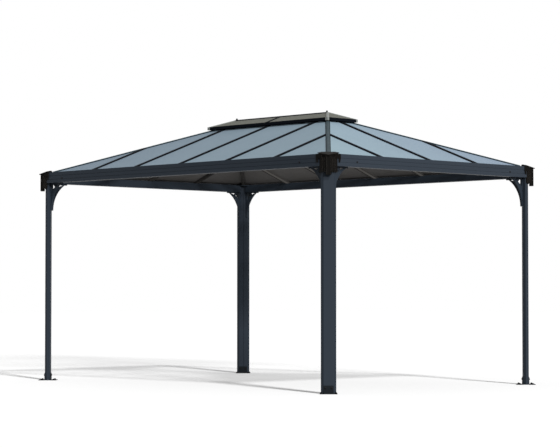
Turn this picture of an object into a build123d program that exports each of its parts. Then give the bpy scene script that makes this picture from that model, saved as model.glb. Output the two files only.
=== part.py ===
from build123d import *

import os
from math import atan, degrees, sqrt

# A free-standing metal gazebo on four corner posts, in millimetres.
# The origin is on the ground under the middle of the roof, X along the long side, Z up.

# Plan and roof
bay = 675.0                     # spacing of the rafters, on a grid that covers the plan
long_bays = 6
short_bays = 4
roof_slope_share = 0.366        # rise over run of every side of the roof

# Corner posts: flattened hexagons with the wide face on the diagonal
post_height = 2137.0
post_offset = 44.5              # post centre beyond the grid, along X and along Y
post_width = 140.0
post_depth = 55.0
post_bevel = 24.5
post_wall = 3.0
post_round = 4.0
groove_width = 14.0
groove_depth = 6.0

# Foot brackets: one angle on the outer and one on the inner face of each post
foot_width = 160.0
foot_run = 64.5
foot_leg = 76.0
foot_plate = 5.0
foot_corner = 8.0
anchor_run = 36.5               # anchor holes out from the post face
anchor_half_gap = 64.0
anchor_hole = 6.0
leg_bolt_height = 54.0
leg_bolt_half_gap = 28.0
leg_bolt_hole = 4.5

# Eave gutters, which are also the fascia beams
gutter_out = 110.0              # outer face beyond the grid
gutter_depth = 85.0
gutter_height = 111.0
gutter_drop = 75.0              # underside below the post tops
gutter_wall = 3.0
fascia_wall = 6.0
fascia_lip = 28.0
fascia_band = 28.0
fascia_groove = 9.0
fascia_groove_depth = 2.5
gutter_top_lip = 12.0
gutter_seat_lip = 13.0

# Rafters: a cap over the panels, a web between them, a flange under them and a stem
cap_height = 10.0
sheet = 8.0
flange = 4.0
stem = 24.0
rafter_cap = 40.0
rafter_web = 12.0
rafter_flange = 40.0
rafter_stem = 24.0
bar_wall = 2.5                  # round the chamber in the stem of a rafter or a hip
rafter_tail = 75.0              # tail beyond the grid, inside the gutter
seat_margin = 7.0               # level seat on the room side of the gutter wall

# Hip rafters and the plates that carry their feet
hip_cap = 34.0
hip_web = 12.0
hip_flange = 34.0
hip_stem = 26.0
hip_foot = 46.0                 # foot inside the post centre, along the diagonal
hip_seat = 36.0
corner_plate = 5.0
plate_reach = 60.0
plate_margin = 1.0

# Roof panels
panel_tail = 80.0               # lower edge beyond the grid
sheet_play = 0.3
edge_play = 1.0

# Corner caps: a lid over the hip's foot, a ribbed body between the gutter ends and a downspout
cap_overhang = 10.0
cap_play = 1.0
cap_tip_half = 7.0
cap_body_drop = 127.0           # below the post tops
lid_start = 30.0                # inner end of the lid inside the post centre
lid_lap = 12.0                  # lid over the gutter ends
lid_rise = 10.0                 # lid above the hip's top line
lid_thickness = 8.0
spout_drop = 157.0
spout_in = 44.0
spout_out = 84.0
spout_width = 48.0
spout_wall = 4.0
spout_rib = 9.0
spout_recess = 5.0
cap_ear = 36.0
cap_ear_drop = 6.0
ear_thickness = 8.0
hook_root = 24.0
hook_taper = 10.0
hook_width = 12.0
hook_drop = 42.0
ribs_per_face = 3
rib_width = 8.0
rib_proud = 3.0
rib_drop = 8.0                  # ribs below the body

# Corner braces
brace_beside = 6.0              # middle of the web outside the post centre
brace_run = 198.0
brace_drop = 284.0
brace_thickness = 14.0
brace_foot = 15.0               # pad on the post
brace_pad = 14.0                # pad under the gutter
brace_tip = 7.0                 # upper end of the curve short of the end of the pad
window_run = 150.0              # windows from the post, along the gutter
window_drop = 95.0
window_bow = 14.0
brace_strut = 24.0
strut_start = 50.0              # strut from the post, along the gutter

# Raised roof vent
curb_width = 320.0              # across the short side, outside
curb_wall = 30.0
curb_rise = 22.0
curb_margin = 3.0
vent_overhang = 53.0
vent_frame_wall = 26.0
vent_clearance = 2.0            # between the vent and the rafter caps under it
vent_lip = 6.0
vent_cap_height = 6.0
vent_sheet = 6.0
vent_flange_height = 3.0
vent_bar = 28.0
vent_ridge_bar = 32.0
vent_web = 8.0
vent_joint = 0.3
standoff_width = 30.0
standoff_height = 12.0
standoff_spacing_share = 0.75   # of the vent's ridge, from its middle to the outer standoffs
knob_radius = 9.0
knob_height = 13.0

# One overrun serves every cut that has to pass clear of a piece
overrun = 20.0

# Sizes that follow from the driving ones
half_long = bay * long_bays / 2
half_short = bay * short_bays / 2
hip_fall_share = roof_slope_share / sqrt(2)
plumb_share = sqrt(1 + roof_slope_share**2)
post_flat = post_width / 2 - post_bevel
post_nose = post_depth / 2 - post_bevel
post_diagonal = post_offset * sqrt(2)
bevel_reach = (post_depth / 2 + post_flat) / sqrt(2)
bevel_start = (post_flat - post_depth / 2) / sqrt(2)
bevel_end = (post_width / 2 - post_nose) / sqrt(2)
bevel_middle = (bevel_start + bevel_end) / 2
gutter_bottom = post_height - gutter_drop
gutter_top = gutter_bottom + gutter_height
gutter_in = gutter_out - gutter_depth
rafter_depth = (cap_height + sheet + flange + stem) * plumb_share
eave_height = post_height + rafter_depth + roof_slope_share * (gutter_in - seat_margin)
plate_top = post_height + corner_plate
hip_depth = eave_height + hip_fall_share * (hip_foot + hip_seat - post_diagonal) - plate_top
curb_inset = half_short - curb_width / 2
curb_long = half_long - curb_inset
curb_short = half_short - curb_inset
curb_line = eave_height + roof_slope_share * curb_inset
curb_top = curb_line + curb_rise
curb_bottom = curb_line - max(rafter_depth, hip_depth) - curb_margin
vent_long = curb_long + vent_overhang
vent_short = curb_short + vent_overhang
vent_ridge_half = vent_long - vent_short
vent_ridge_top = curb_top + roof_slope_share * vent_short

side_names = ["front", "right", "back", "left"]
corner_names = ["front_right", "back_right", "back_left", "front_left"]
up = Vector(0, 0, 1)


def side_frames(half_x, half_y):
    """Frame of each side of a rectangle: x along the edge, y inwards, z up."""
    return [
        Plane(origin=(0, -half_y, 0), x_dir=(1, 0, 0), z_dir=(0, 0, 1)),
        Plane(origin=(half_x, 0, 0), x_dir=(0, 1, 0), z_dir=(0, 0, 1)),
        Plane(origin=(0, half_y, 0), x_dir=(-1, 0, 0), z_dir=(0, 0, 1)),
        Plane(origin=(-half_x, 0, 0), x_dir=(0, -1, 0), z_dir=(0, 0, 1)),
    ]


def corner_frames(half_x, half_y):
    """Frame of each corner of a rectangle: x outwards on the diagonal, z up."""
    signs = [(1, -1), (1, 1), (-1, 1), (-1, -1)]
    return [
        Plane(origin=(x * half_x, y * half_y, 0), x_dir=(x, y, 0), z_dir=(0, 0, 1))
        for x, y in signs
    ]


def across(frame, along=0.0):
    """Upright plane across a frame at a distance along it: x on the frame's y, y up."""
    return Plane(origin=frame.origin + frame.x_dir * along, x_dir=frame.y_dir, z_dir=frame.x_dir)


def facing(frame, inwards=0.0):
    """Upright plane along a frame at a distance in from its edge: x on the frame's x, y up."""
    return Plane(origin=frame.origin + frame.y_dir * inwards, x_dir=frame.x_dir, z_dir=-frame.y_dir)


def roof_plane(frame, height):
    """Plane of a roof side that passes its edge at a height: x along the edge, y up the slope."""
    normal = frame.z_dir - frame.y_dir * roof_slope_share
    return Plane(origin=frame.origin + up * height, x_dir=frame.x_dir, z_dir=normal)


def bar_levels(cap, gap, ledge):
    """Plumb depths of a roof bar's cap, of the sheet beside its web and of its flange."""
    return [depth * plumb_share for depth in (cap, cap + gap, cap + gap + ledge)]


def double_t(middle, top, widths, depths, fall_share=0.0, stem_width=0.0, depth=0.0):
    """Points of a roof bar's section, hung from its top line; cap and flange fall to both sides."""
    cap_half, web_half, flange_half = [width / 2 for width in widths]
    cap_low, sheet_low, flange_low = depths
    side = [
        (cap_half, 0),
        (cap_half, cap_low),
        (web_half, cap_low),
        (web_half, sheet_low),
        (flange_half, sheet_low),
        (flange_half, flange_low),
    ]
    side = [(x, y + fall_share * x) for x, y in side]
    foot = flange_low
    if stem_width:
        foot = depth
        side += [(stem_width / 2, flange_low + fall_share * stem_width / 2), (stem_width / 2, depth)]
    outline = [(0, 0)] + side + [(0, foot)] + [(-x, y) for x, y in reversed(side)]
    return [(middle + x, top - y) for x, y in outline]


def save(builder, name):
    """Label a finished piece and write it to its own file."""
    builder.part.label = name
    export_step(builder.part, f"parts/{name}.step")


os.makedirs("parts", exist_ok=True)
sides = side_frames(half_long, half_short)
side_halves = [half_long, half_short, half_long, half_short]
side_bays = [long_bays, short_bays, long_bays, short_bays]
posts = corner_frames(half_long + post_offset, half_short + post_offset)
bar_depths = bar_levels(cap_height, sheet, flange)

# Posts: hollow extrusions with a groove down the inner face
post_side = [
    (-post_depth / 2, groove_width / 2),
    (-post_depth / 2, post_flat),
    (-post_nose, post_width / 2),
    (post_nose, post_width / 2),
    (post_depth / 2, post_flat),
]
groove_side = [(groove_depth - post_depth / 2, groove_width / 2)]
post_outline = groove_side + post_side
for name, frame in zip(corner_names, posts):
    with BuildPart() as post:
        with BuildSketch(frame):
            with BuildLine():
                Polyline(post_outline + [(x, -y) for x, y in reversed(post_outline)], close=True)
            outline = make_face()
            fillet([spot for spot in outline.vertices() if abs(spot.Y) > groove_width], post_round)
            offset(amount=-post_wall, kind=Kind.INTERSECTION, mode=Mode.SUBTRACT)
        extrude(amount=post_height)
    save(post, f"post_{name}")

# Foot brackets: a drilled foot plate and a drilled leg against the post
for name, frame in zip(corner_names, posts):
    with BuildPart() as brackets:
        for outward in (1, -1):
            angle = Plane(origin=frame.origin, x_dir=frame.x_dir * outward, z_dir=frame.z_dir)
            with BuildSketch(angle):
                with Locations((post_depth / 2 + foot_run / 2, 0)):
                    foot = Rectangle(foot_run, foot_width)
                fillet(foot.vertices().group_by(Axis.X)[-1], foot_corner)
                for side in (1, -1):
                    with Locations((post_depth / 2 + anchor_run, side * anchor_half_gap)):
                        Circle(anchor_hole, mode=Mode.SUBTRACT)
            extrude(amount=foot_plate)
            with BuildSketch(across(angle, post_depth / 2)):
                with Locations((0, foot_leg / 2)):
                    Rectangle(2 * post_flat, foot_leg)
                for side in (1, -1):
                    with Locations((side * leg_bolt_half_gap, leg_bolt_height)):
                        Circle(leg_bolt_hole, mode=Mode.SUBTRACT)
            extrude(amount=foot_plate)
    save(brackets, f"foot_brackets_{name}")

# Gutters: open channels with a banded fascia, butted square against the post bevels
band_1 = gutter_bottom + fascia_lip
band_2 = band_1 + fascia_groove
band_3 = band_2 + fascia_band
band_4 = band_3 + fascia_groove
groove_face = fascia_groove_depth - gutter_out
channel_face = fascia_wall - gutter_out
wall_face = -gutter_in - gutter_wall
gutter_outline = [
    (-gutter_out, gutter_bottom),
    (-gutter_out, band_1),
    (groove_face, band_1),
    (groove_face, band_2),
    (-gutter_out, band_2),
    (-gutter_out, band_3),
    (groove_face, band_3),
    (groove_face, band_4),
    (-gutter_out, band_4),
    (-gutter_out, gutter_top),
    (gutter_top_lip - gutter_out, gutter_top),
    (gutter_top_lip - gutter_out, gutter_top - gutter_wall),
    (channel_face, gutter_top - gutter_wall),
    (channel_face, gutter_bottom + gutter_wall),
    (wall_face, gutter_bottom + gutter_wall),
    (wall_face, post_height - gutter_wall),
    (-gutter_in - gutter_seat_lip, post_height - gutter_wall),
    (-gutter_in - gutter_seat_lip, post_height),
    (-gutter_in, post_height),
    (-gutter_in, gutter_bottom),
]
gutter_halves = [half + post_offset - bevel_reach for half in side_halves]
for name, frame, half in zip(side_names, sides, gutter_halves):
    with BuildPart() as gutter:
        with BuildSketch(across(frame)):
            with BuildLine():
                Polyline(gutter_outline, close=True)
            make_face()
        extrude(amount=half, both=True)
    save(gutter, f"gutter_{name}")


def on_diagonal(beside, inwards):
    """Corner point from distances beside the post centre, along one side and in from it."""
    return (-(beside + inwards) / sqrt(2), (inwards - beside) / sqrt(2))


# Corner plates: from the post top over the seat lips of both gutters
lip_out = post_offset - gutter_in - gutter_seat_lip + plate_margin
lip_in = post_offset - gutter_in
plate_side = [
    (post_depth / 2 - plate_margin, plate_margin - post_flat),
    (0, plate_margin + post_nose - post_width / 2),
    on_diagonal(bevel_reach, lip_out),
    on_diagonal(bevel_reach + plate_reach, lip_out),
    on_diagonal(bevel_reach + plate_reach, lip_in),
]
for name, frame in zip(corner_names, posts):
    with BuildPart() as plate:
        with BuildSketch(frame.offset(post_height)):
            with BuildLine():
                Polyline(plate_side + [(x, -y) for x, y in reversed(plate_side)], close=True)
            make_face()
        extrude(amount=corner_plate)
    save(plate, f"corner_plate_{name}")

# Corner caps: plan outlines of the lid, of the saddle under it and of the body before the post
lid_edge = (gutter_out - post_offset + cap_overhang) * sqrt(2)
lid_end = (bevel_reach + lid_lap) * sqrt(2)
lid_side = [
    (lid_edge - cap_tip_half, cap_tip_half),
    ((lid_edge - lid_end) / 2, (lid_edge + lid_end) / 2),
    (-lid_start, lid_end - lid_start),
]
body_face = (gutter_out - post_offset) * sqrt(2)
cap_end = (bevel_reach - cap_play) * sqrt(2)
face_side = [
    (body_face - spout_width / 2, spout_width / 2),
    ((body_face - cap_end) / 2, (body_face + cap_end) / 2),
]
saddle_side = face_side + [(-lid_start, cap_end - lid_start)]
body_side = face_side + [(post_nose, post_width / 2), (post_depth / 2, post_flat)]
spout_side = [
    (spout_out - spout_recess, spout_width / 2 - spout_rib),
    (spout_out, spout_width / 2 - spout_rib),
    (spout_out, spout_width / 2),
    (spout_in, spout_width / 2),
]
hook_top = post_height - cap_ear_drop
hook_tip = post_height - hook_drop
hook = [(0, hook_top), (hook_taper, hook_tip), (hook_taper + hook_width, hook_tip), (hook_root, hook_top)]
face_width = gutter_out - post_offset + bevel_reach - cap_play - spout_width / sqrt(2)
rib_spots = [cap_play + (step + 1) * face_width / (ribs_per_face + 1) for step in range(ribs_per_face)]
# The lid's top falls with the hip; everything above it is trimmed
lid_back = -lid_start - overrun
lid_front = lid_edge + overrun
lid_high = eave_height + lid_rise
lid_line = [(u, lid_high - hip_fall_share * (u + post_diagonal)) for u in (lid_back, lid_front)]
under_lid = [(u, z - lid_thickness) for u, z in lid_line]
under_lid += [(lid_front, post_height), (lid_back, post_height)]
over_lid = lid_line + [(lid_front, lid_high + overrun), (lid_back, lid_high + overrun)]
for index, (name, frame) in enumerate(zip(corner_names, posts)):
    with BuildPart() as cap:
        with BuildSketch(frame.offset(post_height)):
            with BuildLine():
                Polyline(lid_side + [(x, -y) for x, y in reversed(lid_side)], close=True)
            make_face()
        extrude(amount=lid_high - post_height)
        with BuildSketch(facing(frame)):
            with BuildLine():
                Polyline(under_lid, close=True)
            make_face()
        extrude(amount=lid_front, both=True, mode=Mode.SUBTRACT)
        for low, side_points in (
            (plate_top, saddle_side),
            (post_height - cap_body_drop, body_side),
            (post_height - spout_drop, spout_side),
        ):
            with BuildSketch(frame.offset(low)):
                with BuildLine():
                    Polyline(side_points + [(x, -y) for x, y in reversed(side_points)], close=True)
                make_face()
            extrude(amount=lid_high - low)
        for side, end in ((index, 1), ((index + 1) % 4, -1)):
            outer, gutter_end = sides[side], gutter_halves[side]
            with BuildSketch(outer.offset(post_height - cap_ear_drop)):
                with Locations((end * gutter_end, -gutter_out - ear_thickness / 2)):
                    Rectangle(2 * cap_ear, ear_thickness)
            extrude(amount=gutter_top - post_height + cap_ear_drop)
            with BuildSketch(facing(outer, -gutter_out)):
                with BuildLine():
                    Polyline([(end * (gutter_end - cap_ear + along), z) for along, z in hook], close=True)
                make_face()
            extrude(amount=ear_thickness)
            with BuildSketch(outer.offset(post_height - cap_body_drop - rib_drop)):
                with Locations(*[(end * (gutter_end + spot), -gutter_out) for spot in rib_spots]):
                    Rectangle(rib_width, 2 * rib_proud)
            extrude(amount=cap_body_drop + rib_drop)
        with BuildSketch(facing(frame)):
            with BuildLine():
                Polyline(over_lid, close=True)
            make_face()
        extrude(amount=lid_front, both=True, mode=Mode.SUBTRACT)
        # The downspout is open from below
        with BuildSketch(frame.offset(post_height - spout_drop)):
            with Locations((spout_in + spout_wall, 0)):
                Rectangle(
                    spout_out - spout_recess - spout_in - 2 * spout_wall,
                    spout_width - 2 * spout_wall,
                    align=(Align.MIN, Align.CENTER),
                )
        extrude(amount=spout_drop - cap_ear_drop, mode=Mode.SUBTRACT)
    save(cap, f"corner_cap_{name}")

# Corner braces: a curved web with two windows, from the inner face of the post to the gutter
brace_start = brace_beside + post_depth / sqrt(2)
arc_span = brace_run - brace_tip - brace_foot
brace_arc = (arc_span**2 + brace_drop**2) / (2 * arc_span)
arc_centre = (brace_foot + brace_arc, -brace_drop)
strut_angle = -degrees(atan(brace_drop / (arc_centre[0] - strut_start)))
window_corner = (brace_foot, -brace_pad)
window_tip = (window_run, -brace_pad)
window_foot = (brace_foot, -window_drop)
for index, name in enumerate(corner_names):
    with BuildPart() as braces:
        for side, end in ((index, 1), ((index + 1) % 4, -1)):
            frame = sides[side]
            start = frame.x_dir * (end * (side_halves[side] + post_offset - brace_start))
            middle = frame.origin + start - frame.y_dir * (post_offset + brace_beside) + up * gutter_bottom
            web = Plane(origin=middle, x_dir=frame.x_dir * -end, z_dir=frame.y_dir * end)
            with BuildSketch(web):
                with Locations((-brace_thickness / 2, 0)):
                    Rectangle(brace_run + brace_thickness / 2, brace_drop, align=(Align.MIN, Align.MAX))
                with Locations(arc_centre):
                    Circle(brace_arc, mode=Mode.SUBTRACT)
                Rectangle(brace_run, brace_pad, align=(Align.MIN, Align.MAX))
            extrude(amount=brace_thickness / 2, both=True)
            with BuildSketch(web):
                with BuildLine():
                    Polyline(window_foot, window_corner, window_tip)
                    SagittaArc(window_foot, window_tip, window_bow)
                make_face()
                with Locations(Location((strut_start, 0), strut_angle)):
                    Rectangle(brace_run, brace_strut, align=(Align.MIN, Align.CENTER), mode=Mode.SUBTRACT)
            extrude(amount=brace_thickness, both=True, mode=Mode.SUBTRACT)
        # The feet are cut to the post
        with BuildSketch(posts[index].offset(gutter_bottom)):
            Rectangle(post_depth, post_width)
        extrude(amount=-brace_drop, mode=Mode.SUBTRACT)
    save(braces, f"braces_{name}")

# Hip rafters: from the corner plate up to the corner of the curb
hip_widths = (hip_cap, hip_web, hip_flange)
hip_top = eave_height + hip_fall_share * (hip_foot - post_diagonal)
hip_section = double_t(0, hip_top, hip_widths, bar_depths, hip_fall_share, hip_stem, hip_depth)
hip_hollow = bar_depths[2] + hip_fall_share * hip_stem / 2
hip_chamber = hip_depth - bar_wall - hip_hollow
hip_plan = post_diagonal - hip_foot + curb_inset * sqrt(2) + hip_cap
for name, frame in zip(corner_names, posts):
    with BuildPart() as hip:
        with BuildSketch(across(frame, -hip_foot)):
            with BuildLine():
                Polyline(hip_section, close=True)
            make_face()
            with Locations((0, hip_top - hip_hollow)):
                Rectangle(
                    hip_stem - 2 * bar_wall, hip_chamber, align=(Align.CENTER, Align.MAX), mode=Mode.SUBTRACT
                )
        hip_length = hip_plan * sqrt(1 + hip_fall_share**2)
        extrude(amount=hip_length, dir=up * hip_fall_share - frame.x_dir)
        with BuildSketch(frame.offset(plate_top)):
            with Locations((-hip_foot, 0)):
                Rectangle(2 * hip_seat + overrun, max(hip_widths))
        extrude(amount=-hip_depth, mode=Mode.SUBTRACT)
        with BuildSketch(Plane.XY.offset(curb_bottom)):
            Rectangle(2 * curb_long, 2 * curb_short)
        extrude(amount=curb_top - curb_bottom, mode=Mode.SUBTRACT)
    save(hip, f"hip_rafter_{name}")

# Rafters: seated level on the gutter wall, cut plumb at the curb and along the hips
rafter_widths = (rafter_cap, rafter_web, rafter_flange)
rafter_top = eave_height - roof_slope_share * rafter_tail
rafter_length = (rafter_tail + curb_inset) * plumb_share
rafter_chamber = rafter_depth - bar_wall - bar_depths[2]
hip_gap = max(hip_widths) / 2 * sqrt(2)
for name, frame, half, bays in zip(side_names, sides, side_halves, side_bays):
    with BuildPart() as rafters:
        for step in range(1, bays):
            place = step * bay - half
            section = double_t(place, rafter_top, rafter_widths, bar_depths, 0, rafter_stem, rafter_depth)
            with BuildSketch(facing(frame, -rafter_tail)):
                with BuildLine():
                    Polyline(section, close=True)
                make_face()
                with Locations((place, rafter_top - bar_depths[2])):
                    Rectangle(
                        rafter_stem - 2 * bar_wall,
                        rafter_chamber,
                        align=(Align.CENTER, Align.MAX),
                        mode=Mode.SUBTRACT,
                    )
            extrude(amount=rafter_length, dir=frame.y_dir + up * roof_slope_share)
        with BuildSketch(frame.offset(post_height)):
            with Locations((0, -rafter_tail - overrun)):
                Rectangle(2 * half, rafter_tail + overrun, align=(Align.CENTER, Align.MIN))
        extrude(amount=-rafter_depth, mode=Mode.SUBTRACT)
        with BuildSketch(frame.offset(post_height)):
            field = [(half - inset - hip_gap, inset) for inset in (-rafter_tail, curb_inset)]
            with BuildLine():
                Polyline(field + [(-x, y) for x, y in reversed(field)], close=True)
            make_face()
        extrude(amount=curb_top - post_height, mode=Mode.INTERSECT)
    save(rafters, f"rafters_{name}")


# Roof panels: sheets between the rafter webs, from inside the gutter to the curb
panel_gap = (hip_web / 2 + edge_play) * sqrt(2)
panel_corner = (hip_foot - post_diagonal) * sqrt(2)
panel_low_height = eave_height - (cap_height + sheet - sheet_play) * plumb_share
panel_turn = (panel_corner - panel_gap) / 2
for name, frame, half, bays in zip(side_names, sides, side_halves, side_bays):
    with BuildPart() as panels:
        with BuildSketch(roof_plane(frame, panel_low_height)):
            edge = [
                (half - panel_tail - panel_corner, -panel_tail),
                (half - panel_turn - panel_gap, panel_turn),
                (half - curb_inset + edge_play - panel_gap, curb_inset - edge_play),
            ]
            edge = [(x, y * plumb_share) for x, y in edge]
            with BuildLine():
                Polyline(edge + [(-x, y) for x, y in reversed(edge)], close=True)
            make_face()
            for step in range(1, bays):
                with Locations((step * bay - half, 0)):
                    Rectangle(rafter_web + 2 * edge_play, 2 * half, mode=Mode.SUBTRACT)
        extrude(amount=sheet - 2 * sheet_play)
    save(panels, f"roof_panels_{name}")

# Vent curb: an upright ring on the upper ends of the rafters and hips
with BuildPart() as curb:
    with BuildSketch(Plane.XY.offset(curb_bottom)):
        Rectangle(2 * curb_long, 2 * curb_short)
        Rectangle(2 * (curb_long - curb_wall), 2 * (curb_short - curb_wall), mode=Mode.SUBTRACT)
    extrude(amount=curb_top - curb_bottom)
save(curb, "vent_curb")

# Vent eave frame: a mitred ring whose rebate takes the edges of the vent panels
vents = side_frames(vent_long, vent_short)
vent_depths = bar_levels(vent_cap_height, vent_sheet, vent_flange_height)
frame_bottom = curb_line - roof_slope_share * (vent_overhang - vent_frame_wall) + vent_clearance
rebate_edge = curb_top - vent_depths[1]
with BuildPart() as eave_frame:
    with BuildLine() as rim:
        Polyline(
            (0, -vent_short, frame_bottom),
            (vent_long, -vent_short, frame_bottom),
            (vent_long, vent_short, frame_bottom),
            (-vent_long, vent_short, frame_bottom),
            (-vent_long, -vent_short, frame_bottom),
            close=True,
        )
    with BuildSketch(across(vents[0])):
        with BuildLine():
            Polyline(
                (0, frame_bottom),
                (0, curb_top),
                (vent_lip, curb_top),
                (vent_lip, rebate_edge + roof_slope_share * vent_lip),
                (vent_frame_wall, rebate_edge + roof_slope_share * vent_frame_wall),
                (vent_frame_wall, frame_bottom),
                close=True,
            )
        make_face()
    sweep(path=rim.wires()[0], transition=Transition.RIGHT)
save(eave_frame, "vent_eave_frame")

# Standoffs: blocks across the air slot between the curb and the eave frame
long_spots = [-standoff_spacing_share * vent_ridge_half, 0, standoff_spacing_share * vent_ridge_half]
with BuildPart() as standoffs:
    for frame, spots in zip(vents, (long_spots, [0], long_spots, [0])):
        with BuildSketch(frame.offset(curb_line + vent_clearance)):
            with Locations(*[(spot, (vent_frame_wall + vent_overhang) / 2) for spot in spots]):
                Rectangle(standoff_width, vent_overhang - vent_frame_wall)
        extrude(amount=standoff_height)
save(standoffs, "vent_standoffs")

# Vent hips: mitred together past the ridge ends and let into the eave frame
vent_widths = (vent_bar, vent_web, vent_bar)
vent_rise = vent_ridge_top - frame_bottom + overrun
hip_run = vent_short * sqrt(2) * sqrt(1 + hip_fall_share**2)
with BuildPart() as vent_hips:
    section = double_t(0, curb_top, vent_widths, vent_depths, hip_fall_share)
    for frame in corner_frames(vent_long, vent_short):
        with BuildSketch(across(frame)):
            with BuildLine():
                Polyline(section, close=True)
            make_face()
        extrude(amount=hip_run, dir=up * hip_fall_share - frame.x_dir)
    with BuildSketch(Plane.XY.offset(frame_bottom)):
        Rectangle(2 * vent_ridge_half, 2 * vent_short)
        Rectangle(2 * vent_long, vent_joint)
    extrude(amount=vent_rise, mode=Mode.SUBTRACT)
    with BuildSketch(Plane.XY.offset(frame_bottom)):
        Rectangle(2 * (vent_long - vent_lip), 2 * (vent_short - vent_lip))
    extrude(amount=vent_rise, mode=Mode.INTERSECT)
    add(eave_frame.part, mode=Mode.SUBTRACT)
save(vent_hips, "vent_hips")

# Vent rafters: one on each long side, from the eave frame to the ridge
vent_rafter_run = (vent_short - vent_lip - vent_ridge_bar / 2) * plumb_share
with BuildPart() as vent_rafters:
    section = double_t(0, curb_top + roof_slope_share * vent_lip, vent_widths, vent_depths)
    for frame in (vents[0], vents[2]):
        with BuildSketch(facing(frame, vent_lip)):
            with BuildLine():
                Polyline(section, close=True)
            make_face()
        extrude(amount=vent_rafter_run, dir=frame.y_dir + up * roof_slope_share)
    add(eave_frame.part, mode=Mode.SUBTRACT)
save(vent_rafters, "vent_rafters")

# Vent ridge: a bar along the top with a knob at each end
knob_seat = vent_ridge_top - roof_slope_share * knob_radius
ridge_widths = (vent_ridge_bar, vent_web, vent_ridge_bar)
with BuildPart() as ridge:
    section = double_t(0, vent_ridge_top, ridge_widths, vent_depths, roof_slope_share)
    with BuildSketch(Plane.YZ.offset(-vent_ridge_half)):
        with BuildLine():
            Polyline(section, close=True)
        make_face()
    extrude(amount=2 * vent_ridge_half)
    with BuildSketch(Plane.XY.offset(knob_seat)):
        with Locations(*[(end * (vent_ridge_half - knob_radius), 0) for end in (1, -1)]):
            Circle(knob_radius)
    extrude(amount=knob_height + vent_ridge_top - knob_seat)
save(ridge, "vent_ridge")

# Vent panels: sheets between the hips, the ridge and the rebate of the eave frame
vent_gap = (vent_web / 2 + edge_play) * sqrt(2)
vent_low = vent_lip + edge_play + vent_sheet * roof_slope_share / plumb_share
vent_high = vent_short - vent_web / 2 - edge_play
vent_edges = [
    [(vent_long - vent_low - vent_gap, vent_low), (vent_long - vent_high - vent_gap, vent_high)],
    [(vent_short - vent_low - vent_gap, vent_low), (0, vent_short - vent_gap)],
]
vent_panel_height = curb_top - (vent_cap_height + vent_sheet - sheet_play) * plumb_share
with BuildPart() as vent_panels:
    for index, frame in enumerate(vents):
        edge = [(x, y * plumb_share) for x, y in vent_edges[index % 2]]
        with BuildSketch(roof_plane(frame, vent_panel_height)):
            with BuildLine():
                Polyline(edge + [(-x, y) for x, y in reversed(edge) if x], close=True)
            make_face()
            if index % 2 == 0:
                Rectangle(vent_web + 2 * edge_play, 2 * vent_short * plumb_share, mode=Mode.SUBTRACT)
        extrude(amount=vent_sheet - 2 * sheet_play)
save(vent_panels, "vent_panels")
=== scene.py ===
# %% [markdown]
# # A metal gazebo, finished for the camera
#
# The CAD frame brings the posts, gutters, rafters, panels and the raised vent at their true sizes, in
# metres, with the ground at Z = 0 and X along the long side. This lesson adds what a workshop adds after
# the extrusions are cut: fasteners, rubber seals, closing strips and finishes. Then it sets the studio.

import bpy
import numpy as np
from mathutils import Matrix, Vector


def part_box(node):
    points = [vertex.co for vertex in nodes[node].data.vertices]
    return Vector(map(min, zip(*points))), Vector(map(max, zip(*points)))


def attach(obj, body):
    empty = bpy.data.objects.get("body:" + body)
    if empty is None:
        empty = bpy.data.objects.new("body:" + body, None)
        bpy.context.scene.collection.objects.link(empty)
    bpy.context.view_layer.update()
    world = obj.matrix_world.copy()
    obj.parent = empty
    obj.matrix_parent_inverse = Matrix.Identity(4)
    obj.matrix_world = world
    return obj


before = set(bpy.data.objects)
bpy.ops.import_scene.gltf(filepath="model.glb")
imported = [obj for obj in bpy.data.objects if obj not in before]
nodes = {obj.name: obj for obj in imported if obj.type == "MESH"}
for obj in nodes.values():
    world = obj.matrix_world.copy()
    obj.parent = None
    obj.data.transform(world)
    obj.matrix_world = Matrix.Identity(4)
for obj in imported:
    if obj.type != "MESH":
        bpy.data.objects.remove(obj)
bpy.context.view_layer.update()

# %% [markdown]
# ## Driving sizes
#
# A few sizes place every added piece: the rafter grid, the slope, the posts and the bars. The eave line
# is where the top of a rafter passes over the edge of the grid. Every side of the roof has its own
# frame (along the edge, inwards, up), and so has every corner (outwards on the diagonal, sideways, up).

# %% Sizes
BAY = 0.675                                   # spacing of the rafters
HALF = np.array([3 * BAY, 2 * BAY])           # half the grid along X and along Y
SLOPE = 0.366                                 # rise over run of every side of the roof
PLUMB = np.hypot(1, SLOPE)                    # upright depth over depth square to the slope
FALL = SLOPE / np.sqrt(2)                     # rise over run of a hip
EAVE = 2.19257
POST = 0.0445                                 # post centre beyond the grid, along X and along Y
POST_HALF = 0.0275                            # half its depth on the diagonal
FOOT_PLATE = 0.005                            # thickness of a foot bracket
GUTTER_OUT = 0.110                            # outer face of a gutter beyond the grid
GUTTER_BOTTOM = 2.062
CURB_INSET = 1.190                            # vent curb inside the grid
CAP_HEIGHT = 0.010                            # cap of a bar over the sheets
RAFTER_HALF = 0.020                           # half the width of a rafter's cap
HIP_HALF = 0.017                              # half the width of a hip's cap
SHEET_TAIL = 0.080                            # lower edge of the sheets beyond the grid
SHEET_HALF = 0.004                            # half the slot that a sheet lies in
# Below this drop the bars take the painted underside shade.
UNDERSIDE_DROP = 0.018                        # from the bars' tops to where the underside's tone begins
UP = np.array([0.0, 0.0, 1.0])
print("grid half sizes", HALF)

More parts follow.
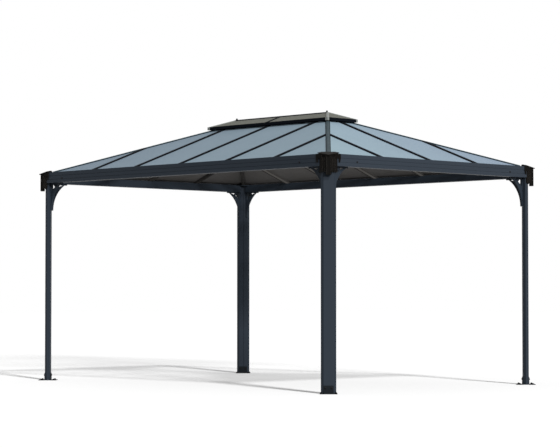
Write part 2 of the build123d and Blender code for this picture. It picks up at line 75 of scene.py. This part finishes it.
# %% Frames of the sides and the corners
side_along = np.array([[1, 0, 0], [0, 1, 0], [-1, 0, 0], [0, -1, 0]], float)
side_inwards = np.cross(UP, side_along)
side_half = HALF[[0, 1, 0, 1]]
side_depth = HALF[[1, 0, 1, 0]]
side_origin = -side_inwards * side_depth[:, None]
corner_sign = np.array([[1, -1], [1, 1], [-1, 1], [-1, -1]], float)
corner_out = np.pad(corner_sign / np.sqrt(2), ((0, 0), (0, 1)))
corner_side = np.cross(UP, corner_out)
corner_post = np.pad(corner_sign * (HALF + POST), ((0, 0), (0, 1)))
print("post centres", np.round(np.abs(corner_post[0]), 3))

# %% [markdown]
# ## Surfaces from two numbers
#
# A turned part is a radius that runs up a profile and round an axis. A seal or a strip is a profile that
# is carried along a straight path. Both are grids of points: the rows follow one number, the columns the
# other, and the faces join neighbours on the grid. Copies are the same grid in other frames.

# %% Grids of points
def grid_faces(rows, columns):
    """Quads of a tube of points, numbered row by row, and the two polygons that close its ends."""
    row, column = np.meshgrid(np.arange(rows - 1), np.arange(columns), indexing="ij")
    near = row * columns + column
    side = row * columns + (column + 1) % columns
    quads = np.stack([near, side, side + columns, near + columns], axis=-1).reshape(-1, 4)
    ring = np.arange(columns)
    return [quads, np.stack([ring[::-1], ring + (rows - 1) * columns])]


def turned(radius, height, hexagon, steps=24):
    """Turned solid. Each profile step is a ring of its radius at its height; where the step is part of
    a hexagon, the radius is the flat's distance over the cosine of the angle from the nearest flat."""
    angle = np.linspace(0, 2 * np.pi, steps, endpoint=False)
    swell = 1 / np.cos((angle + np.pi / 6) % (np.pi / 3) - np.pi / 6)
    reach = np.where(np.array(hexagon, bool)[:, None], swell, 1.0) * np.array(radius)[:, None]
    rise = np.broadcast_to(np.array(height)[:, None], reach.shape)
    points = np.stack([reach * np.cos(angle), reach * np.sin(angle), rise], axis=-1)
    return points.reshape(-1, 3), grid_faces(len(radius), steps)


# %% Copies and carried profiles
def repeated(blocks, count, points_each):
    """Blocks of faces for many copies: each copy's faces count on from the points of the one before."""
    shift = np.arange(count) * points_each
    return [(block[None] + shift[:, None, None]).reshape(-1, block.shape[1]) for block in blocks]


def copies(points, blocks, origins, axes):
    """The same shape in many frames: a point's three numbers go along the frame's three axes."""
    placed = np.einsum("pk,nkd->npd", points, axes) + origins[:, None, :]
    return placed.reshape(-1, 3), repeated(blocks, len(origins), len(points))


def carried(profile, starts, ends, rise):
    """A closed profile carried along straight paths. Its first number goes sideways, across the path
    and the rise, its second along the rise; the profile turns anticlockwise seen against the path."""
    ahead = (ends - starts) / np.linalg.norm(ends - starts, axis=1, keepdims=True)
    side = np.cross(rise, ahead)
    section = np.einsum("pk,nkd->npd", profile, np.stack([side, rise], axis=1))
    points = np.stack([starts, ends], axis=1)[:, :, None, :] + section[:, None, :, :]
    blocks = grid_faces(2, len(profile))
    return points.reshape(-1, 3), repeated(blocks, len(starts), 2 * len(profile))


def upright(direction):
    """Frames whose third axis is the given direction and whose first lies level."""
    level = np.cross(np.where(np.abs(direction[:, 2:]) > 0.5, [[0.0, 1.0, 0.0]], UP), direction)
    level /= np.linalg.norm(level, axis=1, keepdims=True)
    return np.stack([level, np.cross(direction, level), direction], axis=1)


# %% Meshes
SHARP_ANGLE = np.radians(35)


def new_piece(name, shape, material):
    """A mesh from points and blocks of faces, shaded smooth except over edges past the sharp angle."""
    points, blocks = shape
    sizes = np.concatenate([np.full(len(block), block.shape[1]) for block in blocks])
    corners = np.concatenate([block.ravel() for block in blocks])
    mesh = bpy.data.meshes.new(name)
    mesh.vertices.add(len(points))
    mesh.vertices.foreach_set("co", points.astype(np.float32).ravel())
    mesh.loops.add(len(corners))
    mesh.loops.foreach_set("vertex_index", corners.astype(np.int32))
    mesh.polygons.add(len(sizes))
    mesh.polygons.foreach_set("loop_start", (np.cumsum(sizes) - sizes).astype(np.int32))
    mesh.update(calc_edges=True)
    mesh.shade_smooth()
    mesh.set_sharp_from_angle(angle=SHARP_ANGLE)
    mesh.materials.append(material)
    piece = bpy.data.objects.new(name, mesh)
    bpy.context.scene.collection.objects.link(piece)
    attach(piece, "root")
    print(f"{name}: {len(points)} points, {len(sizes)} faces")


print("surface tools are ready")

# %% [markdown]
# ## Shader tools
#
# Four effects are shared by the finishes, each as a node group. Rolled and moulded edges are never
# razor sharp, so *soft_edges* rounds the shading over a small radius and tells where the edges are; the
# finishes paint a highlight along them.
# Powder paint dries with a fine orange peel, which *grain* makes as a bump. Outdoor metal gathers a
# little pale *dust* where it faces up. *under_roof* tells what lies below the sheets, where the bars are
# painted in the shaded tone of the underside.

# %% Nodes
MIX_FIRST, MIX_SECOND, MIX_RESULT = 6, 7, 2     # colour sockets of a Mix node


def add(tree, kind, values=None, **settings):
    """A shader node. A value that is a socket is linked to its input; any other is set on it."""
    node = tree.nodes.new(kind)
    for key, value in settings.items():
        setattr(node, key, value)
    for key, value in (values or {}).items():
        if isinstance(value, bpy.types.NodeSocket):
            tree.links.new(value, node.inputs[key])
        else:
            node.inputs[key].default_value = value
    return node


def maths(tree, operation, *values):
    """Output of a Math node whose inputs are the given values or sockets, in order."""
    return add(tree, "ShaderNodeMath", dict(enumerate(values)), operation=operation).outputs[0]


def blended(tree, share, first, second):
    """Output of a colour mix: the first colour where the share is zero, the second where it is one."""
    values = {"Factor": share, MIX_FIRST: first, MIX_SECOND: second}
    return add(tree, "ShaderNodeMix", values, data_type="RGBA").outputs[MIX_RESULT]


# %% Materials and node groups
FLOAT, COLOUR, VECTOR = "NodeSocketFloat", "NodeSocketColor", "NodeSocketVector"


def new_material(name):
    """A material without nodes; gives it and its node tree."""
    material = bpy.data.materials.new(name)
    material.use_nodes = True
    material.node_tree.nodes.clear()
    return material, material.node_tree


def new_group(name, inputs, outputs):
    """A node group with named sockets; gives the group, its inputs and its output node."""
    group = bpy.data.node_groups.new(name, "ShaderNodeTree")
    for label, kind, value in inputs:
        group.interface.new_socket(label, in_out="INPUT", socket_type=kind).default_value = value
    for label, kind in outputs:
        group.interface.new_socket(label, in_out="OUTPUT", socket_type=kind)
    return group, group.nodes.new("NodeGroupInput").outputs, group.nodes.new("NodeGroupOutput")


print("shader tools are ready")

# %% Soft edges
edges, given, result = new_group(
    "soft_edges", [("Radius", FLOAT, 0.002)], [("Normal", VECTOR), ("Mask", FLOAT)])
bevel = add(edges, "ShaderNodeBevel", {"Radius": given["Radius"]}, samples=4)
geometry = add(edges, "ShaderNodeNewGeometry")
same = add(edges, "ShaderNodeVectorMath", {0: bevel.outputs[0], 1: geometry.outputs["Normal"]},
           operation="DOT_PRODUCT")
mask = add(edges, "ShaderNodeMapRange", {
    "Value": same.outputs["Value"], "From Min": 0.99, "From Max": 0.8})
edges.links.new(bevel.outputs[0], result.inputs["Normal"])
edges.links.new(mask.outputs[0], result.inputs["Mask"])
print("node group", edges.name)

# %% Grain
grain, given, result = new_group(
    "grain", [("Scale", FLOAT, 900.0), ("Strength", FLOAT, 0.04), ("Normal", VECTOR, (0, 0, 0))],
    [("Normal", VECTOR)])
place = add(grain, "ShaderNodeTexCoord")
noise = add(grain, "ShaderNodeTexNoise", {
    "Vector": place.outputs["Object"], "Scale": given["Scale"], "Detail": 2.0})
bump = add(grain, "ShaderNodeBump", {
    "Strength": given["Strength"], "Distance": 0.0005,
    "Height": noise.outputs[0], "Normal": given["Normal"]})
grain.links.new(bump.outputs[0], result.inputs["Normal"])
print("node group", grain.name)

# %% Dust
dust, given, result = new_group(
    "dust", [("Color", COLOUR, (0, 0, 0, 1)), ("Dust", COLOUR, (0.4, 0.38, 0.35, 1)),
             ("Amount", FLOAT, 0.1)],
    [("Color", COLOUR)])
place = add(dust, "ShaderNodeTexCoord")
patches = add(dust, "ShaderNodeTexNoise", {"Vector": place.outputs["Object"], "Scale": 7.0, "Detail": 5.0})
facing = add(dust, "ShaderNodeSeparateXYZ", {0: add(dust, "ShaderNodeNewGeometry").outputs["Normal"]})
flat = add(dust, "ShaderNodeMapRange", {"Value": facing.outputs["Z"], "From Min": 0.2})
settled = maths(dust, "MULTIPLY", patches.outputs[0], flat.outputs[0])
share = maths(dust, "MULTIPLY", settled, given["Amount"])
dust.links.new(blended(dust, share, given["Color"], given["Dust"]), result.inputs["Color"])
print("node group", dust.name)

# %% Under the sheets
# Mask for painted shade: below the sheets the bars are painted in the shaded tone of the sheets'
# underside.
under_roof, _, result = new_group("under_roof", [], [("Mask", FLOAT)])
place = add(under_roof, "ShaderNodeTexCoord")
parts = add(under_roof, "ShaderNodeSeparateXYZ", {0: place.outputs["Object"]})
from_middle = [maths(under_roof, "ABSOLUTE", parts.outputs[axis]) for axis in "XY"]
insets = [maths(under_roof, "SUBTRACT", float(half), size) for half, size in zip(HALF, from_middle)]
inset = maths(under_roof, "MINIMUM", *insets)
roof = maths(under_roof, "MULTIPLY_ADD", inset, SLOPE, EAVE - UNDERSIDE_DROP)
painted_shade_below = maths(under_roof, "LESS_THAN", parts.outputs["Z"], roof)
under_roof.links.new(painted_shade_below, result.inputs["Mask"])
print("node group", under_roof.name)

# %% [markdown]
# ## Finishes
#
# The extrusions carry anthracite powder paint. Painted light makes it lighter on the gutters of the short
# sides, and lighter and greener on the hips. The rafter bars are painted almost black, a painted shade for
# their shaded sides; the corner caps are black moulded plastic, and the sheets are pale twin-wall plastic
# with fine flutes that run up the slope, painted lighter on the short sides as painted light. The sheets
# are made dull: a bright sky in a clear gloss would hide their colour. They are translucent too: much of
# the light passes through to the ground, and their underside is painted warmer and darker than their
# top, as painted shade.

# %% Painted and moulded finishes
def finish(name, colour, roughness, specular, dusty=0.1, edge_highlight=0.5, highlight_gain=2.2, metallic=0.0,
           under=None):
    """A dull coloured finish with soft edges, grain and a little dust. Its edges carry a painted
    highlight: the colour times the gain, by the share of the lift. Where an under colour is given, it
    takes over below the sheets as painted shade."""
    material, tree = new_material(name)
    rim = add(tree, "ShaderNodeGroup", node_tree=edges)
    peel = add(tree, "ShaderNodeGroup", {"Normal": rim.outputs["Normal"]}, node_tree=grain)
    # Painted highlight: the edges are given a lighter colour, the colour times the gain, standing in for
    # the light that catches them.
    painted_highlight_share = maths(tree, "MULTIPLY", rim.outputs["Mask"], edge_highlight)
    light = np.array(colour) * highlight_gain
    tone = blended(tree, painted_highlight_share, (*colour, 1.0), (*light, 1.0))
    grime = add(tree, "ShaderNodeGroup", {"Color": tone, "Amount": dusty}, node_tree=dust)
    top = grime.outputs["Color"]
    if under:
        beneath = add(tree, "ShaderNodeGroup", node_tree=under_roof)
        top = blended(tree, beneath.outputs["Mask"], top, (*under, 1.0))
    shader = add(tree, "ShaderNodeBsdfPrincipled", {
        "Base Color": top, "Roughness": roughness, "Metallic": metallic,
        "Specular IOR Level": specular, "Normal": peel.outputs["Normal"]})
    add(tree, "ShaderNodeOutputMaterial", {"Surface": shader.outputs[0]})
    print("finish", name)
    return material


# %% Finishes of the bars, caps and fasteners
# Painted shade: below the sheets, bars and hips are painted in this tone of the sheets' shaded underside
# instead of their own paint.
BAR_UNDERSIDE_SHADE = (0.060, 0.057, 0.054)
paint = finish("powder_paint", (0.0155, 0.0215, 0.0300), 0.55, 0.10)
foot_paint = finish("foot_paint", (0.006, 0.008, 0.010), 0.6, 0.06, dusty=0.03)
# Painted light: the same powder paint, made lighter for the gutters of the short sides, stands in for the
# light that the side towards the lamps catches.
lit_short_paint = finish("powder_paint_lit_short_sides", (0.0215, 0.0285, 0.0385), 0.55, 0.10)
# Painted light: a lighter, greener copy of the frame paint stands in for the lit tops of the hips; below
# the sheets they take the painted underside shade.
lit_hip_paint = finish("lit_hip_paint", (0.025, 0.043, 0.053), 0.6, 0.02, under=BAR_UNDERSIDE_SHADE)
vent_paint = finish("vent_paint", (0.19, 0.20, 0.19), 0.6, 0.10)
# Painted shade: the rafters and the vent frame are painted almost black, darker than the frame paint,
# standing in for the shaded sides of the bars; below the sheets they take the painted underside shade.
shaded_bar_paint = finish("shaded_bar_paint", (0.003, 0.004, 0.006), 0.7, 0.02, dusty=0.01, edge_highlight=0.2,
                   under=BAR_UNDERSIDE_SHADE)
# Painted shade and highlight: the black plastic is made darker still so that the spout's channel reads as
# dark as shade, and its rib and rim edges carry a strong painted highlight.
plastic = finish("cap_plastic", (0.0036, 0.0032, 0.0028), 0.6, 0.03, dusty=0.01, edge_highlight=1.0,
                 highlight_gain=15.0)
rubber = finish("seal_rubber", (0.005, 0.005, 0.006), 0.8, 0.05, dusty=0.02, edge_highlight=0.1)
bolt = finish("bolt_black", (0.003, 0.003, 0.004), 0.5, 0.10, dusty=0.01, edge_highlight=0.2)
zinc = finish("strip_alloy", (0.42, 0.43, 0.44), 0.45, 0.5, metallic=0.8)

# %% Flutes of a sheet
FLUTE = 0.011                                 # width of a flute
FLUTE_CONTRAST = 0.10


def fluted_tone(tree, colours, axis, reach):
    """Tone of a sheet: it swings as a cosine of the distance along the eave, once a flute.

    The colour goes evenly from the first one at minus the reach to the second at plus the reach.
    """
    place = add(tree, "ShaderNodeTexCoord").outputs["Object"]
    along = add(tree, "ShaderNodeSeparateXYZ", {0: place}).outputs[axis]
    wave = maths(tree, "COSINE", maths(tree, "MULTIPLY", along, 2 * np.pi / FLUTE))
    crest = add(tree, "ShaderNodeMapRange", {"Value": wave, "From Min": -1.0})
    cloud = add(tree, "ShaderNodeTexNoise", {"Vector": place, "Scale": 3.0, "Detail": 3.0})
    depth = add(tree, "ShaderNodeMapRange", {
        "Value": maths(tree, "MULTIPLY", crest.outputs[0], cloud.outputs[0]),
        "To Min": 1 - FLUTE_CONTRAST, "To Max": 1 + FLUTE_CONTRAST})
    share = add(tree, "ShaderNodeMapRange", {"Value": along, "From Min": -reach, "From Max": reach})
    first, second = colours
    tint = blended(tree, share.outputs[0], (*first, 1.0), (*second, 1.0))
    tone = add(tree, "ShaderNodeVectorMath", {0: tint, "Scale": depth.outputs[0]}, operation="SCALE")
    return tone.outputs[0]


# %% Twin-wall sheets
# Painted shade: the underside of every sheet is painted darker and warmer than its top, standing in for
# the shade under the roof.
SHEET_UNDERSIDE_SHADE = (0.160, 0.153, 0.147)


def sheet_finish(name, colours, axis, reach, through):
    """A dull fluted sheet whose underside is painted darker and warmer, as painted shade, and which lets a
    share of the shadow rays through.
    """
    material, tree = new_material(name)
    normal = add(tree, "ShaderNodeNewGeometry").outputs["Normal"]
    facing = add(tree, "ShaderNodeSeparateXYZ", {0: normal})
    painted_shade_below = maths(tree, "LESS_THAN", facing.outputs["Z"], 0.0)
    tone = fluted_tone(tree, colours, axis, reach)
    shader = add(tree, "ShaderNodeBsdfPrincipled", {
        "Base Color": blended(tree, painted_shade_below, tone, (*SHEET_UNDERSIDE_SHADE, 1.0)),
        "Roughness": 0.6, "Specular IOR Level": 0.05})
    clear = add(tree, "ShaderNodeBsdfTransparent")
    rays = add(tree, "ShaderNodeLightPath")
    passing = maths(tree, "MULTIPLY", rays.outputs["Is Shadow Ray"], through)
    veil = add(tree, "ShaderNodeMixShader", {0: passing, 1: shader.outputs[0], 2: clear.outputs[0]})
    add(tree, "ShaderNodeOutputMaterial", {"Surface": veil.outputs[0]})
    print("finish", name)
    return material


# Painted light and shade: the same sheet is tinted darker on the long sides and lighter on the short
# sides, standing in for how the lamps on the right light the slopes.
SHADED_LONG_TINTS = ((0.168, 0.218, 0.268), (0.212, 0.286, 0.336))
LIT_SHORT_TINTS = ((0.245, 0.337, 0.382), (0.219, 0.277, 0.354))
OLIVE_GREY = (0.112, 0.114, 0.098)
sheet_long = sheet_finish("sheet_long_sides", SHADED_LONG_TINTS, "X", reach=2.1, through=0.92)
sheet_short = sheet_finish("sheet_short_sides", LIT_SHORT_TINTS, "Y", reach=1.4, through=0.50)
sheet_vent = sheet_finish("sheet_vent", (OLIVE_GREY, OLIVE_GREY), "X", reach=1.0, through=0.80)

# %% Give every CAD node its finish
finishes = {
    "post": paint, "foot": foot_paint, "gutter": paint, "corner_plate": paint, "braces": paint,
    "gutter_left": lit_short_paint, "gutter_right": lit_short_paint,
    "corner_cap": plastic, "hip_rafter": lit_hip_paint, "rafters": shaded_bar_paint,
    "roof_panels_front": sheet_long, "roof_panels_back": sheet_long,
    "roof_panels_left": sheet_short, "roof_panels_right": sheet_short,
    "vent": shaded_bar_paint, "vent_panels": sheet_vent, "vent_hips": vent_paint,
}
for name, node in nodes.items():
    key = max((start for start in finishes if name.startswith(start)), key=len)
    node.data.materials.clear()
    node.data.materials.append(finishes[key])
print(len(nodes), "nodes finished")

# %% [markdown]
# ## Fasteners
#
# The feet are held by anchor bolts with washers and hexagon nuts, and the angle's leg is bolted to the
# post. Low domed heads hold the fascia and the braces. A bolt is a turned profile, so one profile and a
# list of frames make them all.

# %% Where fasteners go
def at_corners(spots):
    """Points given as (outwards, sideways, height) from every post centre, and their corner's number."""
    spots = np.atleast_2d(spots)
    axes = np.stack([corner_out, corner_side, np.broadcast_to(UP, (4, 3))], axis=1)
    points = corner_post[:, None, :] + np.einsum("sk,nkd->nsd", spots, axes)
    return points.reshape(-1, 3), np.repeat(np.arange(4), len(spots))


def at_sides(spots):
    """Points given as (distance from the end of the grid, inwards, height) at both ends of every side."""
    spots = np.atleast_2d(spots)
    ends = np.array([-1.0, 1.0])
    along = ends[None, :, None] * (side_half[:, None, None] - spots[None, None, :, 0])
    points = side_origin[:, None, None, :] + along[..., None] * side_along[:, None, None, :]
    points = points + spots[None, None, :, 1, None] * side_inwards[:, None, None, :]
    points = points + spots[None, None, :, 2, None] * UP
    return points.reshape(-1, 3), np.repeat(np.arange(4), 2 * len(spots))


print("fasteners go to", len(corner_post), "corners and", len(side_along), "sides")

# %% Foot anchors: a washer, a hexagon nut and the end of a stud
ANCHOR_OUT = 0.064                            # from the post centre, on the diagonal
ANCHOR_ASIDE = 0.064                          # beside the diagonal
anchor = turned([0.014, 0.014, 0.0095, 0.0095, 0.0085, 0.0055, 0.0055],
                [0.000, 0.0025, 0.0025, 0.008, 0.0092, 0.0092, 0.0125], [0, 0, 1, 1, 0, 0, 0])
spots = np.array([(out, aside, FOOT_PLATE) for out in (-ANCHOR_OUT, ANCHOR_OUT)
                  for aside in (-ANCHOR_ASIDE, ANCHOR_ASIDE)])
points, _ = at_corners(spots)
shape = copies(*anchor, points, upright(np.broadcast_to(UP, points.shape)))
new_piece("foot_anchors", shape, bolt)

# %% Leg bolts, on the outer and the inner face of each post
LEG_BOLT_HEIGHT = 0.054
LEG_BOLT_ASIDE = 0.028                        # beside the diagonal
LEG_FACE = POST_HALF + FOOT_PLATE             # face of a bracket's leg from the post centre
leg_bolt = turned([0.010, 0.010, 0.0065, 0.0065, 0.0056],
                  [0.0, 0.0016, 0.0016, 0.006, 0.007], [0, 0, 1, 1, 0])
spots = np.array([(out, aside, LEG_BOLT_HEIGHT) for out in (-LEG_FACE, LEG_FACE)
                  for aside in (-LEG_BOLT_ASIDE, LEG_BOLT_ASIDE)])
points, corner = at_corners(spots)
outwards = np.tile(np.sign(spots[:, :1]), (4, 1)) * corner_out[corner]
new_piece("leg_bolts", copies(*leg_bolt, points, upright(outwards)), bolt)

# %% Domed heads on the fascia
DOME_RINGS, DOME_STEPS = 5, 20
RIM_SHARE = 0.3                               # upright rim out of a head's height
CROWN_SHARE = 0.9                             # dome out of a quarter turn; the rest is a small flat


def dome(radius, height):
    """Domed head: the radius falls as a cosine while the height climbs as a sine, over a short rim."""
    climb = np.linspace(0, np.pi / 2 * CROWN_SHARE, DOME_RINGS)
    reach = np.concatenate([[radius], radius * np.cos(climb)])
    rise = np.concatenate([[0], height * (RIM_SHARE + (1 - RIM_SHARE) * np.sin(climb))])
    return turned(reach, rise, np.zeros(len(reach)), DOME_STEPS)


FASCIA_BOLT_IN = 0.374                        # from the outer corner of the gutters
FASCIA_BOLT_HEIGHT = 2.107
points, side = at_sides([(FASCIA_BOLT_IN - GUTTER_OUT, -GUTTER_OUT, FASCIA_BOLT_HEIGHT)])
shape = copies(*dome(radius=0.0095, height=0.004), points, upright(-side_inwards[side]))
new_piece("fascia_bolts", shape, bolt)

# %% Domed heads on the braces
BRACE_BESIDE = 0.006                          # middle of a brace outside the post centre
BRACE_HALF = 0.007                            # half its thickness
BRACE_FACE = POST + BRACE_BESIDE + BRACE_HALF                 # its outer face beyond the grid
BRACE_START = BRACE_BESIDE + POST_HALF * np.sqrt(2) - POST    # its post end inside the end of the grid
# Screws along the gutter from the post end, and up from the gutter's underside
on_brace = np.array([(0.010, -0.130), (0.010, -0.225), (0.085, -0.007), (0.175, -0.007)])
spots = np.column_stack([BRACE_START + on_brace[:, 0], np.full(len(on_brace), -BRACE_FACE),
                         GUTTER_BOTTOM + on_brace[:, 1]])
points, side = at_sides(spots)
shape = copies(*dome(radius=0.005, height=0.003), points, upright(-side_inwards[side]))
new_piece("brace_screws", shape, bolt)

# %% [markdown]
# ## Seals and strips
#
# A rubber bead closes the joint between each glazing bar and its sheet. It is a small rounded profile
# carried up the slope on both sides of the bar's cap; beside a jack rafter it stops where the hip's cap
# begins. Alloy strips close the open flutes of the sheets over the gutter. Thin pale covers, carried in
# the same way, wrap the corners of the vent.

# %% Beads beside the rafters
BEAD = 0.003                                  # half the width of a bead
BEAD_TAIL = 0.074                             # lower end of a rafter's bead beyond the grid
bead_profile = BEAD * np.array([(-1, -0.4), (1, -0.4), (1, 0.3), (0.5, 1), (-0.5, 1), (-1, 0.3)])
starts, ends, rises = [], [], []
for number in range(4):
    bays = round(2 * side_half[number] / BAY)
    bars = np.arange(1, bays) * BAY - side_half[number]
    along = (bars[:, None] + np.array([-1, 1]) * (RAFTER_HALF + BEAD)).ravel()
    top = np.minimum(CURB_INSET, side_half[number] - np.abs(along) - HIP_HALF * np.sqrt(2) - BEAD)
    climb = side_inwards[number] + SLOPE * UP
    foot = side_origin[number] + along[:, None] * side_along[number] + (EAVE - CAP_HEIGHT * PLUMB) * UP
    starts.append(foot - BEAD_TAIL * climb)
    ends.append(foot + top[:, None] * climb)
    rises.append(np.broadcast_to((UP - SLOPE * side_inwards[number]) / PLUMB, foot.shape))
shape = carried(bead_profile, *map(np.concatenate, (starts, ends, rises)))
new_piece("rafter_beads", shape, rubber)

# %% Beads beside the hips
HIP_BEAD_TAIL = 0.012                         # lower end beyond the grid's corner, in plan
HIP_BEAD_TOP = 1.655                          # upper end inside the grid's corner, in plan
grid_corner = corner_post - corner_out * POST * np.sqrt(2)
beside = np.array([-1, 1]) * (HIP_HALF + BEAD)
foot = grid_corner[:, None, :] + beside[None, :, None] * corner_side[:, None, :]
foot = foot + (EAVE - FALL * (HIP_HALF + BEAD) - CAP_HEIGHT * PLUMB) * UP
foot = foot.reshape(-1, 3)
climb = np.repeat(FALL * UP - corner_out, 2, axis=0)
rise = np.repeat((UP + FALL * corner_out) / np.hypot(1, FALL), 2, axis=0)
shape = carried(bead_profile, foot - HIP_BEAD_TAIL * climb, foot + HIP_BEAD_TOP * climb, rise)
new_piece("hip_beads", shape, rubber)

# %% Closing strips on the lower edges of the sheets
STRIP_IN, STRIP_OUT = 0.003, 0.0045           # over the sheet's edge and beyond it
STRIP_HALF = 0.0049                           # half its height
STRIP_GAP = 0.009                             # end of a strip from the middle of a rafter
STRIP_CORNER_GAP = 0.058                      # and from the end of the grid
strip = np.array([(-STRIP_OUT, -STRIP_HALF), (STRIP_IN, -STRIP_HALF),
                  (STRIP_IN, STRIP_HALF), (-STRIP_OUT, STRIP_HALF)])
starts, ends, rises = [], [], []
for number in range(4):
    bays = round(2 * side_half[number] / BAY)
    bars = np.arange(0, bays + 1) * BAY - side_half[number]
    first, last = bars[:-1] + STRIP_GAP, bars[1:] - STRIP_GAP
    first[0], last[-1] = bars[0] + STRIP_CORNER_GAP, bars[-1] - STRIP_CORNER_GAP
    rise = (UP - SLOPE * side_inwards[number]) / PLUMB
    edge = side_origin[number] - SHEET_TAIL * (side_inwards[number] + SLOPE * UP)
    edge = edge + EAVE * UP - (CAP_HEIGHT + SHEET_HALF) * rise
    starts.append(edge + first[:, None] * side_along[number])
    ends.append(edge + last[:, None] * side_along[number])
    rises.append(np.broadcast_to(rise, (bays, 3)))
shape = carried(strip, *map(np.concatenate, (starts, ends, rises)))
new_piece("sheet_strips", shape, zinc)

# %% Pale covers on the corners of the vent
COVER = 0.0015                                # thickness
COVER_LONG, COVER_SHORT = 0.032, 0.020        # from the vent's corner, along its long and short sides
frame_low, frame_high = np.array(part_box("vent_eave_frame"))
tip = np.column_stack([corner_sign * frame_high[:2], np.full(4, frame_low[2])])
outwards = np.column_stack([corner_sign, np.zeros(4)])
long_way, short_way = outwards * (1, 0, 0), outwards * (0, 1, 0)
on_long, on_short = tip + COVER / 2 * short_way, tip + COVER / 2 * long_way
starts = np.concatenate([on_long + COVER * long_way, on_short])
ends = np.concatenate([on_long - COVER_LONG * long_way, on_short - COVER_SHORT * short_way])
cover = np.array([(-0.5, 0), (0.5, 0), (0.5, 1), (-0.5, 1)]) * (COVER, frame_high[2] - frame_low[2])
shape = carried(cover, starts, ends, np.broadcast_to(UP, starts.shape))
new_piece("vent_corner_covers", shape, vent_paint)

# %% [markdown]
# ## Studio
#
# A white dome gives the plain level. Three soft lights stand on the right, one above another: in the
# photograph the posts throw one streak each to the left, and the roof throws two soft patches. Camera,
# mirror and see-through rays meet a white backdrop of strength one. The floor that they meet is part
# white glow, part matt, so that shadows on it stay soft and pale; other rays meet a plain grey one.

# %% World
DOME_LEVEL, BACKDROP_LEVEL = 0.30, 1.0


def seen(tree):
    """Output that is one for camera, mirror and see-through rays and zero for all others."""
    rays = add(tree, "ShaderNodeLightPath")
    direct = maths(tree, "MAXIMUM", rays.outputs["Is Camera Ray"], rays.outputs["Is Glossy Ray"])
    return maths(tree, "MAXIMUM", direct, rays.outputs["Is Transmission Ray"])


def grey(level):
    """An opaque grey: the same level in all three colours."""
    return (level, level, level, 1.0)


world = bpy.data.worlds.new("studio")
bpy.context.scene.world = world
world.use_nodes = True
tree = world.node_tree
tree.nodes.clear()
level = add(tree, "ShaderNodeMapRange", {
    "Value": seen(tree), "To Min": DOME_LEVEL, "To Max": BACKDROP_LEVEL})
backdrop = add(tree, "ShaderNodeBackground", {"Color": grey(1.0), "Strength": level.outputs[0]})
add(tree, "ShaderNodeOutputWorld", {"Surface": backdrop.outputs[0]})
print("world", world.name)

# %% Lights over the right side, a little towards the front
LIGHT_TURN, LIGHT_SOFTNESS = np.radians(-21), np.radians(6)
LIGHTS = {"upper_light": (38.7, 0.60), "middle_light": (28.0, 0.12), "lower_light": (16.5, 0.80)}
for name, (height, strength) in LIGHTS.items():
    lamp = bpy.data.objects.new(name, bpy.data.lights.new(name, "SUN"))
    lamp.data.energy = strength * np.pi
    lamp.data.angle = LIGHT_SOFTNESS
    lamp.rotation_euler = (0, np.radians(90 - height), LIGHT_TURN)
    bpy.context.scene.collection.objects.link(lamp)
    print(name, "is", height, "degrees high")

# %% Floor
FLOOR_HALF = 60.0
FLOOR_WHITE, FLOOR_GLOW, FLOOR_PLAIN = 0.95, 0.13, 0.3
spread = [(x * FLOOR_HALF, y * FLOOR_HALF, 0) for x, y in ((-1, -1), (1, -1), (1, 1), (-1, 1))]
floor_mesh = bpy.data.meshes.new("floor")
floor_mesh.from_pydata(spread, [], [(0, 1, 2, 3)])
floor = bpy.data.objects.new("floor", floor_mesh)
bpy.context.scene.collection.objects.link(floor)
ground, tree = new_material("floor_white")
matt = add(tree, "ShaderNodeBsdfDiffuse", {"Color": grey(FLOOR_WHITE)})
glow = add(tree, "ShaderNodeEmission", {"Color": grey(1.0), "Strength": FLOOR_GLOW})
bright = add(tree, "ShaderNodeAddShader", {0: matt.outputs[0], 1: glow.outputs[0]})
plain = add(tree, "ShaderNodeBsdfDiffuse", {"Color": grey(FLOOR_PLAIN)})
surface = add(tree, "ShaderNodeMixShader", {0: seen(tree), 1: plain.outputs[0], 2: bright.outputs[0]})
add(tree, "ShaderNodeOutputMaterial", {"Surface": surface.outputs[0]})
floor_mesh.materials.append(ground)
print("floor", 2 * FLOOR_HALF, "m wide")

# %% [markdown]
# ## Camera
#
# The straight edges of the photograph fix the camera: a long lens, nearly level, that looks at the near
# corner almost along the diagonal of a square bay.

# %% Camera
TURN, TILT = np.radians(46.1174), np.radians(1.9286)
BACK, LEFT, HEIGHT = 21.1628, 0.0093, 0.9058    # camera from the middle of the ground
FOCAL, PICTURE_WIDTH = 2066.05, 560             # in pixels
SENSOR = 36.0                                   # in millimetres
ahead = np.array([-np.sin(TURN), np.cos(TURN), 0.0])
right = np.array([np.cos(TURN), np.sin(TURN), 0.0])
camera = bpy.data.objects.new("camera", bpy.data.cameras.new("camera"))
camera.data.sensor_width = SENSOR
camera.data.lens = SENSOR * FOCAL / PICTURE_WIDTH
camera.data.clip_end = 200.0
camera.location = -BACK * ahead - LEFT * right + HEIGHT * UP
camera.rotation_euler = (np.pi / 2 + TILT, 0, TURN)
bpy.context.scene.collection.objects.link(camera)
bpy.context.scene.camera = camera
bpy.context.scene.view_settings.view_transform = "Standard"
print("camera at", np.round(camera.location, 3))
